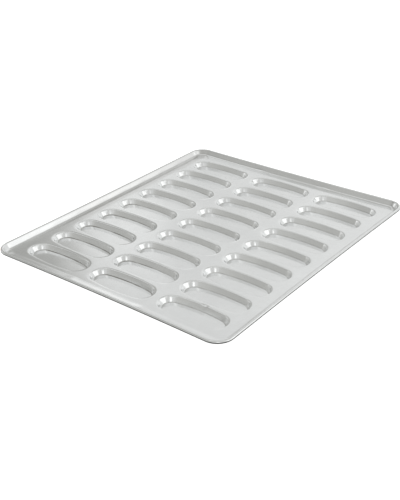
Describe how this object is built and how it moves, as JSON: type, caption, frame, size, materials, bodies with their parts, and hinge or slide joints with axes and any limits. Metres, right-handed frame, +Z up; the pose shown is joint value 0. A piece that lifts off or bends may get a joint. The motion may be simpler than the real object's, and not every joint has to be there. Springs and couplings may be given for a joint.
{
  "type": "baguette tray",
  "caption": "Flat rectangular baking pan of pressed sheet steel with rows of shallow oval moulds and a low leaning rim rolled round a wire.",
  "frame": {"origin": "under the middle mould, at the centre of the pan's outline, on the plane that the mould floors stand on", "axes": "+Z up, out of the moulds; +X along the moulds, across the pan's shorter side; +Y along the pan's longer side, across the rows of moulds"},
  "size_m": [0.56, 0.66, 0.0237],
  "materials": {
    "pan_steel": "satin aluminised steel with a clear release glaze, faint streaks and scuffs",
    "wire_steel": "dull zinc-coated drawn wire"
  },
  "bodies": {
    "root": {"pan_sheet": "pan_steel", "rim_wire": "wire_steel"}
  },
  "joints": []
}
